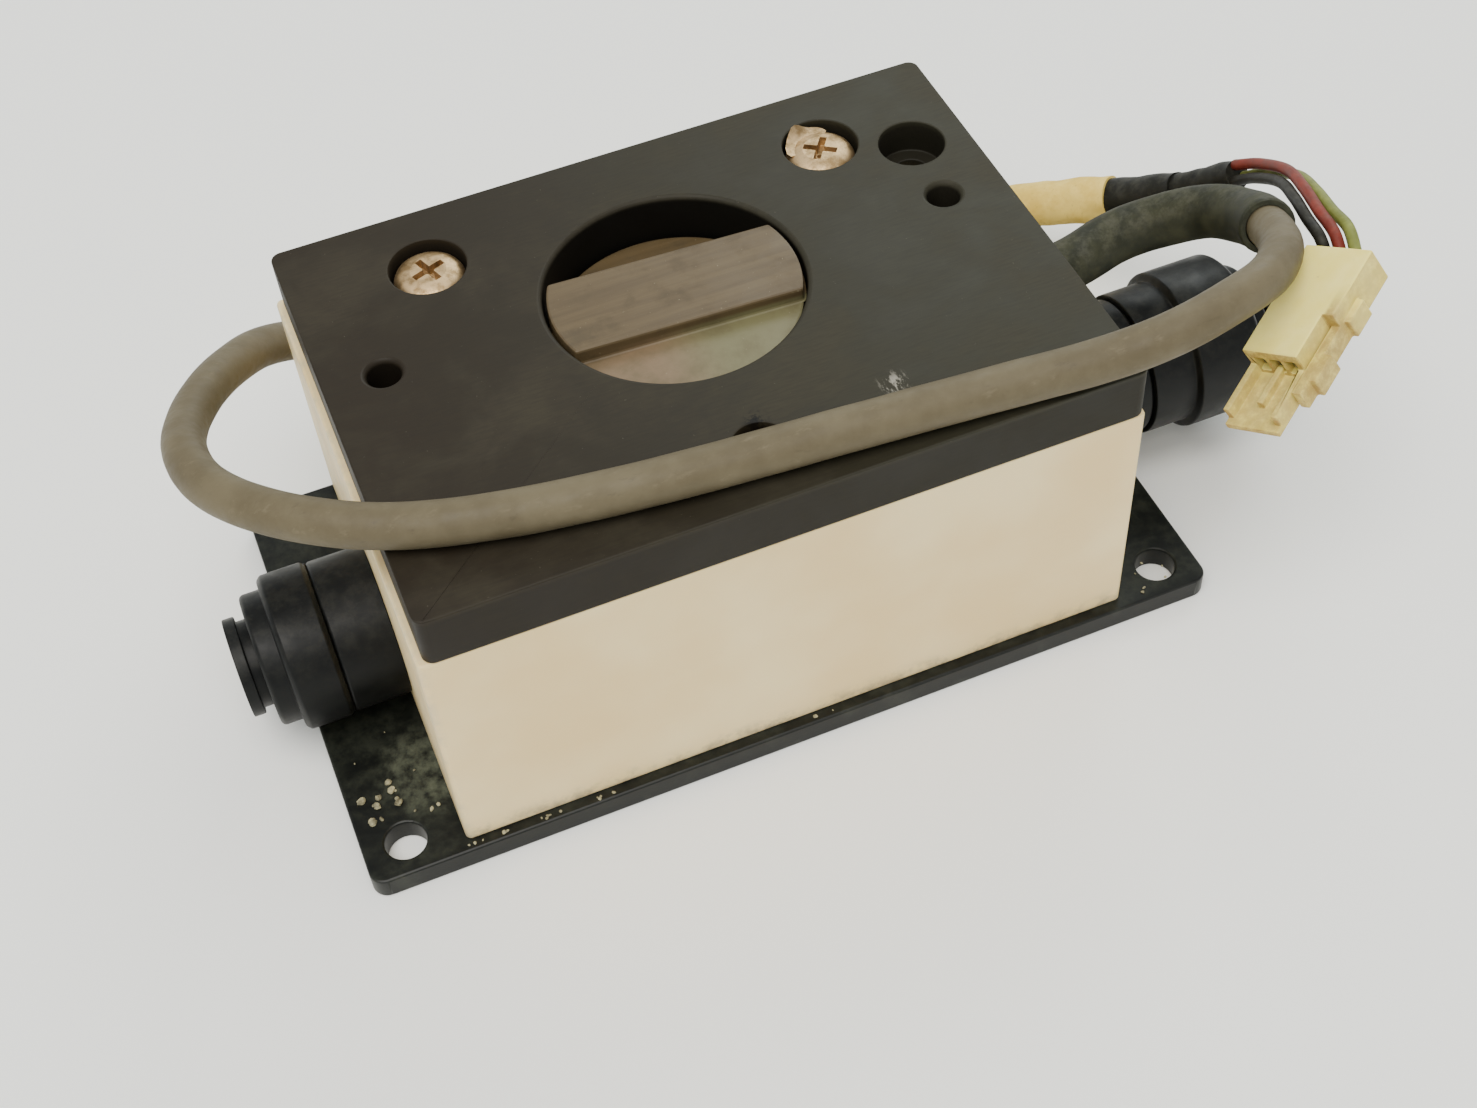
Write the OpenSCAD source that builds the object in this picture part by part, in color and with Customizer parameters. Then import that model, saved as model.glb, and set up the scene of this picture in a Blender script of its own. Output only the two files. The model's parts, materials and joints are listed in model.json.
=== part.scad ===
// Motorised rotary valve actuator head: an in-line valve block with push-in
// tube fittings on both ends, a gear motor under a flat cover, a position knob
// in a round well, and a three-wire lead with its plug.
// Millimetres, +Z up. The origin is the centre of the four mounting holes, on
// the underside of the base plate. +X runs along the pipe.

/* [Base plate] */
// Length of the base plate along X
plate_l = 115; // [112:1:120]
// Width of the base plate along Y
plate_w = 65.5; // [65:0.5:72]
// Thickness of the base plate
plate_t = 3.3; // [2.5:0.1:5]
// Corner radius of the base plate
plate_corner_r = 2; // [0.5:0.5:4]
// Mounting hole spacing along X
hole_pitch_x = 104; // [100:1:106]
// Mounting hole spacing along Y
hole_pitch_y = 56; // [52:1:57]
// Mounting hole diameter
hole_d = 5.2; // [4:0.1:5.5]

/* [Block and cover] */
// Length of the valve block along X
block_l = 90; // [88:1:92]
// Width of the valve block along Y
block_w = 64; // [62:0.5:65]
// Height of the valve block
block_h = 35.5; // [35:0.5:38]
// How far the block's middle lies behind the origin
block_shift_y = 0.75; // [0.5:0.25:1]
// Thickness of the cover
cover_t = 7.4; // [7:0.1:9]
// Ledge of block left showing at the cover's left end
cover_inset_left = 0.9; // [0:0.1:1.5]
// Ledge of block left showing at the cover's right end
cover_inset_right = 0.2; // [0:0.1:1.5]
// Floor thickness left over the valve chamber, up to the gear compartment
compartment_floor_z = 25.4; // [25:0.1:26]

/* [Knob] */
// Radius of the well through the cover
well_r = 16.2; // [16:0.1:17]
// Radius of the knob disc
knob_r = 15.8; // [15:0.1:15.8]
// Depth of the knob disc below the cover's top face
knob_depth = 6.3; // [5:0.1:6.5]
// Drop from the bar's top to the ledge in front of it
ledge_drop = 2; // [1.5:0.1:3]
// Width of the raised bar across the knob
bar_w = 12.6; // [8:0.1:14]
// Angle of the bar from the pipe axis when the valve is open
bar_angle = 3; // [0:1:5]

/* [Fittings] */
// Height of the pipe axis above the underside of the base plate
pipe_z = 13.8; // [13.8:0.1:14.5]
// Radius of the tube socket
tube_socket_r = 4.9; // [4.8:0.05:5]
// Radius of the water passage
flow_r = 4; // [3:0.5:4]
// Length of the left fitting's neck outside the block
left_neck_l = 7.5; // [7:0.5:9]
// Radius of the left fitting's neck
left_neck_r = 9.9; // [9:0.1:10]
// Length of the left fitting's collar
left_collar_l = 6.3; // [6:0.1:8]
// Radius of the left fitting's collar
left_collar_r = 10.2; // [10:0.1:10.3]
// Length of the right fitting's neck outside the block
right_neck_l = 15; // [14:0.5:16]
// Radius of the right fitting's neck
right_neck_r = 9.4; // [9:0.1:9.8]
// Length of the right fitting's collar
right_collar_l = 16; // [14:0.5:17]
// Radius of the right fitting's collar
right_collar_r = 11; // [10.5:0.1:11.2]
// Length of the right collar's narrower first part
right_lead_in_l = 6; // [4:0.5:8]
// How far a release collet can be pushed in
collet_travel = 1.2; // [0.8:0.1:1.2]

/* [Gears] */
// Gear module
gear_m = 0.5; // [0.5:0.1:0.5]
// Teeth on the motor pinion
pinion_teeth = 10; // [10:1:10]
// Teeth on both compound gears' wheels
wheel_teeth = 40; // [40:1:40]
// Teeth on both compound gears' pinions
small_teeth = 12; // [12:1:12]
// Teeth on the output gear
output_teeth = 48; // [48:1:48]
// Teeth on each gear of the spindle pair
spindle_teeth = 16; // [16:1:16]
// Tooth thinning on each flank, for backlash
flank_gap = 0.06; // [0.04:0.01:0.08]

/* [Lead] */
// Diameter of the lead
lead_d = 5.3; // [5:0.1:5.5]
// Diameter of the sleeve over the lead's first stretch
sleeve_d = 7.1; // [6.5:0.1:7.8]
// Diameter of each bare-end wire
wire_d = 1.5; // [1.3:0.1:1.7]

/* [Hidden] */
$fn = 64;

// Overshoot that makes a cut run clean through a face
e = 0.5;
// Clearance between a turning or sliding piece and its bearing
run = 0.05;
// Clearance between two fixed pieces that fit together
snug = 0.02;

block_z0 = plate_t;
block_z1 = block_z0 + block_h;
cover_z1 = block_z1 + cover_t;
end_x = block_l / 2;

knob_xy = [0, block_shift_y + 5];
knob_top_z = cover_z1 - knob_depth;
bar_top_z = cover_z1 - 0.2;
pipe_y = knob_xy[1] - spindle_teeth * gear_m;
spindle_xy = [0, pipe_y];

// Gear layers, from the compartment's floor upwards
layer1_z = compartment_floor_z + 0.8;
layer2_z = layer1_z + 2.8;
layer3_z = layer2_z + 2.8;
tooth_h = 2.4;
plate_z = layer3_z + 3.5;

// Gear centres: 5-12-13 and 3.5-12-12.5 triangles keep the distances exact
gear_b_xy = [knob_xy[0] + gear_m * (output_teeth + small_teeth) / 2, knob_xy[1]];
gear_a_xy = [gear_b_xy[0] + 5, gear_b_xy[1] - 12];
motor_xy = [gear_a_xy[0] + 3.5, gear_a_xy[1] - 12];
axle_r = 1;
shaft_r = 2;
motor_shaft_r = 0.75;

pressure_angle = 25;
addendum = 0.9;
dedendum = 1.1;

cover_screw_xy = [
    [-26.5, block_shift_y + 21.4],
    [26.5, block_shift_y + 21.4],
    [-0.5, block_shift_y - 23.4]
];
screw_head_r = 4.5;
front_screw_head_r = 2.9;
spare_hole_r = 4.25;
screw_head_h = 2.4;
head_clearance = 0.4;
counterbore_floor_z = cover_z1 - 3;
spare_floor_z = cover_z1 - 4.6;
insert_r = 2.8;
insert_l = 8;
spare_hole_xy = [37.2, block_shift_y + 16.5];
tapped_hole_xy = [36.6, block_shift_y + 5.9];
tapped_hole_r = 2.1;
base_screw_xy = [for (x = [-38, 38], y = [-25.5, 27]) [x, y]];

compartment_l = 74;
compartment_w = 53;
boss_r = 5;
board_z = 35.4;
board_t = 1;
board_post_xy = [[-33, -15], [-33, 13], [-14, -15]];
post_xy = [[-4, -13.5], [31, 12.5], [8, 24]];

ball_r = 7;
chamber_r = 7.3;
chamber_x0 = -8.8;
socket_r = 8.3;
socket_depth = 14;
motor_r = 6;
motor_pocket_z = 6.6;
// Length of each collar's nose ring
nose_l = 2.7;

gland_xyz = [end_x, 2.5, 30];

// Lead route. The sleeve's stretch comes first, from the gland outwards.
sleeve_route = [
    [46.5, 2.5, 30], [54, 3.5, 30], [61, 5, 30.5], [67, 4, 32],
    [72, 0, 35], [73, -6.5, 39], [71, -14, 44]
];
// On from the sleeve: over the cover's front edge, round the left end, down
// behind the block and along the table to the lead's far end
lead_route = [
    [71, -14, 44], [67.5, -21.5, 48], [62, -27, 50.5],
    [54.5, -30, 51.5], [46.5, -31, 50.8], [38, -30, 49.4],
    [26.5, -28.6, 48.9], [14.5, -27.6, 48.9], [2.5, -26.7, 48.9],
    [-9, -25.8, 48.9], [-20, -24.6, 48.9], [-31, -22.7, 48.9],
    [-41.5, -19.6, 48.9], [-49.5, -15, 48.6], [-56, -8.5, 47.5],
    [-60, -1.5, 46], [-61.2, 6, 44], [-60.2, 13.5, 41],
    [-57.3, 21, 38], [-53.4, 28, 34.5], [-48.4, 34.8, 30],
    [-42, 39.6, 24.5], [-34.8, 42, 18.5], [-26.5, 43, 12],
    [-16.5, 42.8, 6.5], [-6, 42, 3.4], [6, 41.5, 2.7],
    [20, 41, 2.7], [34, 40.5, 2.8], [46, 39.5, 4.5],
    [55, 37.8, 8], [62, 34.5, 12]
];
band_route = [[62, 34.5, 12], [68.5, 30, 14.5], [73.5, 25, 17]];
shrink_large_route = [[73.5, 25, 17], [76.5, 20.5, 20], [78.7, 16.4, 23.5]];
shrink_small_route = [[78.7, 16.4, 23.5], [81, 12.5, 27], [82.5, 9, 30.5]];
// Middle of the three wires, from the last heat-shrink to the plug
wire_route = [
    [82.5, 9, 30.5], [83, 4.6, 34.2], [81.6, -2.8, 39.6],
    [78.9, -9.8, 43.4], [76.5, -16.3, 45.9], [75.2, -21.2, 47.2]
];
// Spread of the outer wires at the last point before the plug
wire_fan = [1.8, -0.3, 0.2];
plug_rear = [74.7, -25.1, 46.2];
plug_turn = [28, 18, 212];
plug_l = 16.2;
plug_w = 9.4;
plug_h = 5;
plug_pitch = 2.2;
// The row of ways lies off the housing's middle, clear of the latch arm
plug_shift = -0.7;

// ---------------------------------------------------------------- helpers

// Rectangle with round corners, centred on the origin
module round_rect(l, w, r) {
    square([l - 2 * r, w], center = true);
    square([l, w - 2 * r], center = true);
    for (x = [-1, 1], y = [-1, 1])
        translate([x * (l / 2 - r), y * (w / 2 - r)]) circle(r);
}

// Cylinder between two heights at a plan point
module post(xy, z0, z1, r) {
    translate([xy[0], xy[1], z0]) cylinder(h = z1 - z0, r = r);
}

// Solid of revolution about the pipe axis, on the side (+1 right, -1 left),
// from [distance outside the block's end face, radius] profile points
module on_pipe(side, profile) {
    translate([side * end_x, pipe_y, pipe_z])
        rotate([0, side * 90, 0])
            rotate_extrude() polygon([for (p = profile) [p[1], p[0]]]);
}

// Profile of a plain ring from s0 to s1
function ring(s0, s1, r0, r1) = [[s0, r0], [s1, r0], [s1, r1], [s0, r1]];

function unit(v) = v / norm(v);
// Direction of a route at point i
function heading(route, i) =
    unit(route[min(i + 1, len(route) - 1)] - route[max(i - 1, 0)]);
// Sideways vector at point i, carried along the route without twist
function side_vector(route, i) =
    i == 0
        ? unit(cross(heading(route, 0), [0, 0, 1]))
        : let (t = heading(route, i), s = side_vector(route, i - 1))
            unit(s - t * (s * t));

// Tube of diameter d swept along a route, with flat ends
module tube(route, d, sides = 10) {
    n = len(route);
    frames = [for (i = [0:n - 1])
        let (t = heading(route, i), s = side_vector(route, i)) [s, cross(t, s)]];
    points = [for (i = [0:n - 1], k = [0:sides - 1])
        let (a = 360 * k / sides)
            route[i] + d / 2 * (frames[i][0] * cos(a) + frames[i][1] * sin(a))];
    walls = [for (i = [0:n - 2], k = [0:sides - 1])
        let (j = (k + 1) % sides)
            [i * sides + k, (i + 1) * sides + k, (i + 1) * sides + j, i * sides + j]];
    caps = [
        [for (k = [0:sides - 1]) k],
        [for (k = [sides - 1:-1:0]) (n - 1) * sides + k]
    ];
    polyhedron(points = points, faces = concat(caps, walls), convexity = 10);
}

// Involute angle in degrees at radius r over base circle rb
function involute(r, rb) =
    let (a = acos(min(1, rb / r))) tan(a) * 180 / PI - a;

// Outline of one involute gear of n teeth, with a tooth centred on angle 0
function gear_outline(n) =
    let (
        rp = n * gear_m / 2,
        rb = rp * cos(pressure_angle),
        ra = rp + addendum * gear_m,
        rr = rp - dedendum * gear_m,
        start = max(rb, rr),
        steps = 3,
        half = 90 / n - flank_gap / rp * 180 / PI + involute(rp, rb)
    )
    [for (tooth = [0:n - 1]) let (mid = tooth * 360 / n)
        each concat(
            rr < rb ? [rr * [cos(mid - half), sin(mid - half)]] : [],
            [for (i = [0:steps]) let (
                r = start + (ra - start) * i / steps,
                a = mid - half + involute(r, rb)) r * [cos(a), sin(a)]],
            [for (i = [steps:-1:0]) let (
                r = start + (ra - start) * i / steps,
                a = mid + half - involute(r, rb)) r * [cos(a), sin(a)]],
            rr < rb ? [rr * [cos(mid + half), sin(mid + half)]] : []
        )
    ];

// Gear turned so that a tooth, or with gap = true a tooth space, faces the
// plan point it meshes with
module gear(n, at, meets, z, h, gap = false) {
    turn = atan2(meets[1] - at[1], meets[0] - at[0]) + (gap ? 180 / n : 0);
    translate([at[0], at[1], z]) rotate(turn)
        linear_extrude(h) polygon(gear_outline(n));
}

// ------------------------------------------------------- casing and covers

module base_plate() {
    color([0.08, 0.09, 0.09]) difference() {
        linear_extrude(plate_t) difference() {
            round_rect(plate_l, plate_w, plate_corner_r);
            for (x = [-1, 1], y = [-1, 1])
                translate([x * hole_pitch_x / 2, y * hole_pitch_y / 2])
                    circle(d = hole_d);
        }
        for (p = base_screw_xy) {
            post(p, -e, plate_t + e, 1.6);
            translate([p[0], p[1], -0.01]) cylinder(h = 1.8, r1 = 3.3, r2 = 1.5);
        }
    }
}

// Plan of the gear compartment, with the parts of it that stay solid
module compartment_plan(solid_xy, solid_r) {
    difference() {
        translate([0, block_shift_y]) round_rect(compartment_l, compartment_w, 4);
        for (p = cover_screw_xy) translate(p) circle(boss_r);
        for (p = solid_xy) translate(p) circle(solid_r);
    }
}

module valve_body() {
    color([0.86, 0.8, 0.68]) difference() {
        translate([0, block_shift_y, block_z0])
            linear_extrude(block_h) round_rect(block_l, block_w, 0.8);
        // gear compartment, with the circuit board's posts left standing
        translate([0, 0, compartment_floor_z])
            linear_extrude(board_z - compartment_floor_z + 0.001)
                compartment_plan(board_post_xy, 2.4);
        translate([0, 0, board_z])
            linear_extrude(block_z1 - board_z + e) compartment_plan([], 1);
        // groove of the cover seal
        translate([0, block_shift_y, block_z1 - 1])
            linear_extrude(1 + e) seal_plan(1.4);
        // water passage, valve chamber and the two fitting sockets
        on_pipe(-1, [[e, 0], [e, socket_r], [-socket_depth, socket_r],
            [-socket_depth, flow_r], [-end_x - chamber_x0 + e, flow_r],
            [-end_x - chamber_x0 + e, 0]]);
        on_pipe(1, [[e, 0], [e, socket_r], [-socket_depth, socket_r],
            [-socket_depth, chamber_r], [chamber_x0 - end_x, chamber_r],
            [chamber_x0 - end_x, 0]]);
        // spindle passage, its gland and the drive shaft's bush
        post(spindle_xy, pipe_z, 22, shaft_r + 0.1);
        post(spindle_xy, 21.8, compartment_floor_z + e, 3.6);
        post(knob_xy, 21, compartment_floor_z + e, 3.6);
        // motor pocket
        post(motor_xy, motor_pocket_z, compartment_floor_z + e, motor_r + 0.25);
        // gear axles and the gear plate's posts
        for (p = [gear_a_xy, gear_b_xy])
            post(p, 22.4, compartment_floor_z + e, axle_r + snug);
        for (p = post_xy) post(p, 22.4, compartment_floor_z + e, 1.25);
        for (p = board_post_xy) post(p, 30, board_z + e, 0.9);
        // cover screw inserts, base screws and the cable gland
        for (p = cover_screw_xy) post(p, block_z1 - insert_l - 1, block_z1 + e, insert_r + snug);
        for (p = base_screw_xy) post(p, block_z0 - e, 13, 1.45);
        translate([compartment_l / 2 - e, gland_xyz[1], gland_xyz[2]])
            rotate([0, 90, 0]) cylinder(h = end_x - compartment_l / 2 + 2 * e, r = 4.6);
    }
}

// Plan of the seal ring round the compartment, w wide
module seal_plan(w) {
    difference() {
        round_rect(82 + w, 58 + w, 4 + w / 2);
        round_rect(82 - w, 58 - w, 4 - w / 2);
    }
}

module cover_seal() {
    color([0.1, 0.1, 0.1])
        translate([0, block_shift_y, block_z1 - 0.98])
            linear_extrude(0.96) seal_plan(1.2);
}

// The front screw has a smaller head than the two rear ones
function cover_head_r(i) = i < 2 ? screw_head_r : front_screw_head_r;

module top_cover() {
    cover_l = block_l - cover_inset_left - cover_inset_right;
    color([0.24, 0.23, 0.2]) difference() {
        translate([(cover_inset_left - cover_inset_right) / 2, block_shift_y, block_z1])
            linear_extrude(cover_t) round_rect(cover_l, block_w, 1.4);
        post(knob_xy, block_z1 - e, cover_z1 + e, well_r);
        translate([knob_xy[0], knob_xy[1], cover_z1 - 0.4])
            cylinder(h = 0.8, r1 = well_r - 0.01, r2 = well_r + 0.79);
        for (i = [0:2]) {
            p = cover_screw_xy[i];
            post(p, block_z1 - e, cover_z1, 2.2);
            post(p, counterbore_floor_z, cover_z1 + e, cover_head_r(i) + head_clearance);
        }
        // spare counterbored hole, without a screw
        post(spare_hole_xy, block_z1 - e, cover_z1, 2.2);
        post(spare_hole_xy, spare_floor_z, cover_z1 + e, spare_hole_r);
        // two tapped holes with a countersunk mouth
        for (x = [-1, 1]) {
            p = [x * tapped_hole_xy[0], tapped_hole_xy[1]];
            post(p, block_z1 + 1, cover_z1 + e, tapped_hole_r);
            translate([p[0], p[1], cover_z1 - 0.5])
                cylinder(h = 0.9, r1 = tapped_hole_r - 0.01, r2 = tapped_hole_r + 0.7);
        }
    }
}

// Cross recess of a screw head, cut down from the head's top
module cross_recess(w, l, depth) {
    for (a = [0, 90]) rotate(a)
        translate([-l / 2, -w / 2, -depth]) cube([l, w, depth + e]);
    translate([0, 0, -depth - 0.5]) cylinder(h = depth + 0.5 + e, r1 = 0.3, r2 = w * 0.95);
}

module cover_screws() {
    color([0.85, 0.72, 0.5]) for (i = [0:2]) {
        p = cover_screw_xy[i];
        r = cover_head_r(i);
        translate([p[0], p[1], counterbore_floor_z]) difference() {
            rotate_extrude() polygon([
                [0, -10], [1.9, -10], [1.9, 0], [r, 0],
                [r, 1], [r - 0.3, 1.6],
                [r - 1, 2.1], [r - 2.2, screw_head_h],
                [0, screw_head_h]
            ]);
            translate([0, 0, screw_head_h]) rotate(20 + 35 * i) cross_recess(0.9, 4.4, 1.4);
        }
    }
}

module threaded_inserts() {
    color([0.8, 0.65, 0.3]) for (p = cover_screw_xy)
        difference() {
            post(p, block_z1 - insert_l, block_z1 - 0.1, insert_r);
            post(p, block_z1 - insert_l - e, block_z1 + e, 1.95);
        }
}

module base_screws() {
    color([0.6, 0.6, 0.6]) for (p = base_screw_xy)
        translate([p[0], p[1], 0.1]) difference() {
            rotate_extrude() polygon([[0, 0], [3, 0], [1.4, 1.6], [1.4, 11.5], [0, 12.5]]);
            mirror([0, 0, 1]) cross_recess(0.7, 3, 0.9);
        }
}

// -------------------------------------------------------- knob and valve

module position_knob() {
    hub_z = plate_z + 0.3;
    flange_z = block_z1 - 2;
    color([0.45, 0.41, 0.33]) difference() {
        translate([knob_xy[0], knob_xy[1], 0]) {
            translate([0, 0, hub_z]) cylinder(h = flange_z - hub_z + 0.1, r = 5.5);
            translate([0, 0, flange_z]) cylinder(h = 1.6, r = 17.3);
            translate([0, 0, flange_z]) cylinder(h = knob_top_z - flange_z, r = knob_r);
            rotate(-bar_angle) {
                intersection() {
                    translate([-knob_r, -bar_w / 2, flange_z])
                        cube([2 * knob_r, bar_w, bar_top_z - flange_z]);
                    translate([0, 0, flange_z])
                        cylinder(h = bar_top_z - flange_z, r = knob_r - 0.1);
                }
                // ledge in front of the bar, higher than the disc behind it
                intersection() {
                    translate([-knob_r, -knob_r, flange_z])
                        cube([2 * knob_r, knob_r, bar_top_z - ledge_drop - flange_z]);
                    translate([0, 0, flange_z])
                        cylinder(h = bar_top_z - ledge_drop - flange_z, r = knob_r - 0.05);
                }
            }
        }
        post(knob_xy, hub_z - e, knob_top_z - 1.9, shaft_r + snug);
    }
}

module drive_shaft() {
    color([0.7, 0.7, 0.72]) post(knob_xy, 21.2, knob_top_z - 2, shaft_r);
}

module output_gear() {
    color([0.93, 0.93, 0.9]) difference() {
        gear(output_teeth, knob_xy, gear_b_xy, layer3_z, tooth_h, gap = true);
        post(knob_xy, layer3_z - e, plate_z, shaft_r + snug);
        post(magnet_xy(), layer3_z + tooth_h - 1.2, plate_z, 1.52);
    }
}

function magnet_xy() = knob_xy + 9 * [cos(135), sin(135)];

module position_magnet() {
    color([0.55, 0.55, 0.58])
        post(magnet_xy(), layer3_z + tooth_h - 1.2, layer3_z + tooth_h, 1.5);
}

module shaft_gear() {
    color([0.9, 0.9, 0.88]) difference() {
        gear(spindle_teeth, knob_xy, spindle_xy, layer1_z, tooth_h);
        post(knob_xy, layer1_z - e, layer2_z, shaft_r + snug);
    }
}

module spindle_gear() {
    color([0.9, 0.9, 0.88]) difference() {
        gear(spindle_teeth, spindle_xy, knob_xy, layer1_z, tooth_h, gap = true);
        post(spindle_xy, layer1_z - e, layer2_z, shaft_r + snug);
    }
}

// Flanged bush with its top flange on the compartment's floor
module floor_bush(xy, z0, bore_r) {
    difference() {
        union() {
            post(xy, z0, compartment_floor_z, 3.58);
            post(xy, compartment_floor_z, compartment_floor_z + 0.5, 3.9);
        }
        post(xy, z0 - e, compartment_floor_z + 1, bore_r);
    }
}

module shaft_bush() {
    color([0.8, 0.62, 0.3]) floor_bush(knob_xy, 21.1, shaft_r + run);
}

module spindle_gland() {
    color([0.8, 0.62, 0.3]) floor_bush(spindle_xy, 23.4, shaft_r + run);
}

module spindle_seal() {
    color([0.08, 0.08, 0.08]) translate([spindle_xy[0], spindle_xy[1], 22.6])
        rotate_extrude() translate([shaft_r + run + 0.72, 0]) circle(0.7, $fn = 24);
}

module valve_spindle() {
    color([0.72, 0.72, 0.74]) {
        post(spindle_xy, pipe_z + 6.2, layer1_z + tooth_h + 0.2, shaft_r);
        translate([spindle_xy[0] - 1.6, spindle_xy[1] - 0.7, pipe_z + 5])
            cube([3.2, 1.4, 1.3]);
    }
}

module valve_ball() {
    color([0.8, 0.8, 0.82]) translate([0, pipe_y, pipe_z]) difference() {
        sphere(ball_r);
        rotate([0, 90, 0]) cylinder(h = 4 * ball_r, r = flow_r, center = true);
        // flat and slot that take the spindle's blade
        translate([-4, -4, 6.1]) cube([8, 8, 2]);
        translate([-1.7, -0.75, 4.9]) cube([3.4, 1.5, 3]);
    }
}

// Seat ring between the ball and the chamber, on one side of the ball
module seat(side) {
    color([0.95, 0.95, 0.93]) difference() {
        translate([side * 3.6, pipe_y, pipe_z]) rotate([0, side * 90, 0])
            difference() {
                cylinder(h = 5, r = 7.2);
                translate([0, 0, -e]) cylinder(h = 6, r = flow_r + 0.2);
            }
        translate([0, pipe_y, pipe_z]) sphere(ball_r + run);
    }
}

module left_seat() { seat(-1); }
module right_seat() { seat(1); }

module seat_retainer() {
    color([0.86, 0.8, 0.68])
        translate([8.65, pipe_y, pipe_z]) rotate([0, 90, 0]) difference() {
            cylinder(h = 20, r = 7.2);
            translate([0, 0, -e]) cylinder(h = 21, r = flow_r);
        }
}

// ------------------------------------------------------------ gear train

module compound_gear_a() {
    color([0.93, 0.93, 0.9]) difference() {
        union() {
            gear(wheel_teeth, gear_a_xy, motor_xy, layer1_z, tooth_h, gap = true);
            gear(small_teeth, gear_a_xy, gear_b_xy, layer1_z + 1, layer2_z + tooth_h - layer1_z - 1);
        }
        post(gear_a_xy, layer1_z - e, plate_z, axle_r + run);
    }
}

module compound_gear_b() {
    color([0.93, 0.93, 0.9]) difference() {
        union() {
            gear(wheel_teeth, gear_b_xy, gear_a_xy, layer2_z, tooth_h, gap = true);
            gear(small_teeth, gear_b_xy, knob_xy, layer2_z + 1, layer3_z + tooth_h - layer2_z - 1);
        }
        post(gear_b_xy, layer2_z - e, plate_z, axle_r + run);
    }
}

module gear_axles() {
    color([0.72, 0.72, 0.74]) for (p = [gear_a_xy, gear_b_xy])
        post(p, 22.5, plate_z + 1, axle_r);
}

module gear_plate() {
    color([0.75, 0.76, 0.78]) difference() {
        translate([0, 0, plate_z]) linear_extrude(1) difference() {
            union() {
                polygon([
                    post_xy[0] + [0, -3], [gear_a_xy[0] + 3, gear_a_xy[1] - 3],
                    post_xy[1] + [3, 0], post_xy[2] + [0, 2]
                ]);
                for (p = concat(post_xy, [gear_a_xy])) translate(p) circle(3);
            }
            translate(knob_xy) circle(6.4);
            for (p = [gear_a_xy, gear_b_xy]) translate(p) circle(axle_r + snug);
            for (p = post_xy) translate(p) circle(1);
        }
    }
}

module plate_posts() {
    color([0.75, 0.7, 0.5]) for (p = post_xy) difference() {
        union() {
            post(p, 22.5, compartment_floor_z, 1.2);
            post(p, compartment_floor_z, plate_z, 2.2);
        }
        post(p, plate_z - 4, plate_z + e, 0.9);
    }
}

module plate_screws() {
    color([0.6, 0.6, 0.62]) for (p = post_xy) {
        post(p, plate_z - 3.5, plate_z + 1, 0.85);
        difference() {
            post(p, plate_z + 1, plate_z + 1.4, 1.9);
            translate([p[0] - 0.25, p[1] - 2, plate_z + 1.2]) cube([0.5, 4, 1]);
        }
    }
}

// ----------------------------------------------------------------- motor

module motor_can() {
    color([0.7, 0.7, 0.72]) difference() {
        union() {
            post(motor_xy, 8.2, 22.4, motor_r);
            post(motor_xy, 22.4, 23.8, 2.4);
        }
        post(motor_xy, 8, 21.6, motor_r - 0.6);
        post(motor_xy, 21, 24, motor_shaft_r + run);
    }
}

module motor_end_cap() {
    color([0.85, 0.85, 0.8]) difference() {
        post(motor_xy, 6.8, 8.2, motor_r);
        post(motor_xy, 7.6, 9, motor_shaft_r + run);
    }
}

module motor_ring() {
    color([0.2, 0.2, 0.2]) difference() {
        post(motor_xy, 22.45, 25, motor_r + 0.2);
        post(motor_xy, 22, 25.5, 2.45);
    }
}

module motor_rotor() {
    color([0.6, 0.35, 0.2]) {
        post(motor_xy, 7.7, layer1_z + tooth_h + 0.2, motor_shaft_r);
        difference() {
            post(motor_xy, 11, 20, motor_r - 1.4);
            for (a = [0, 120, 240]) translate([motor_xy[0], motor_xy[1], 10])
                rotate(a) translate([2, -0.5, 0]) cube([4, 1, 11]);
        }
        post(motor_xy, 8.6, 10.4, 1.8);
    }
}

module motor_pinion() {
    color([0.8, 0.65, 0.3]) difference() {
        gear(pinion_teeth, motor_xy, gear_a_xy, layer1_z, tooth_h);
        post(motor_xy, layer1_z - e, layer2_z, motor_shaft_r + snug);
    }
}

// ------------------------------------------------------------ electronics

module circuit_board() {
    color([0.1, 0.35, 0.2]) {
        difference() {
            translate([-36, -18, board_z]) cube([28.5, 34, board_t]);
            for (p = board_post_xy) post(p, board_z - e, board_z + board_t + e, 1);
        }
        // components on the board's underside
        translate([-31, -8, board_z - 1.8]) cube([8, 6, 1.9]);
        translate([-31, 2, board_z - 4]) cube([9, 4, 4.1]);
        translate([-20, -10, board_z - 1.2]) cube([4, 3, 1.3]);
    }
}

module hall_sensors() {
    color([0.1, 0.1, 0.1]) for (y = [knob_xy[1] + 6.4, knob_xy[1] - 6.4])
        translate([-10.8, y - 1.5, board_z - 0.45]) cube([3, 3, 0.44]);
}

module board_screws() {
    color([0.6, 0.6, 0.62]) for (p = board_post_xy) {
        post(p, board_z - 4.5, board_z + board_t, 0.85);
        difference() {
            post(p, board_z + board_t, board_z + board_t + 1.2, 1.8);
            translate([p[0] - 0.25, p[1] - 2, board_z + board_t + 0.8]) cube([0.5, 4, 1]);
        }
    }
}

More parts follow.
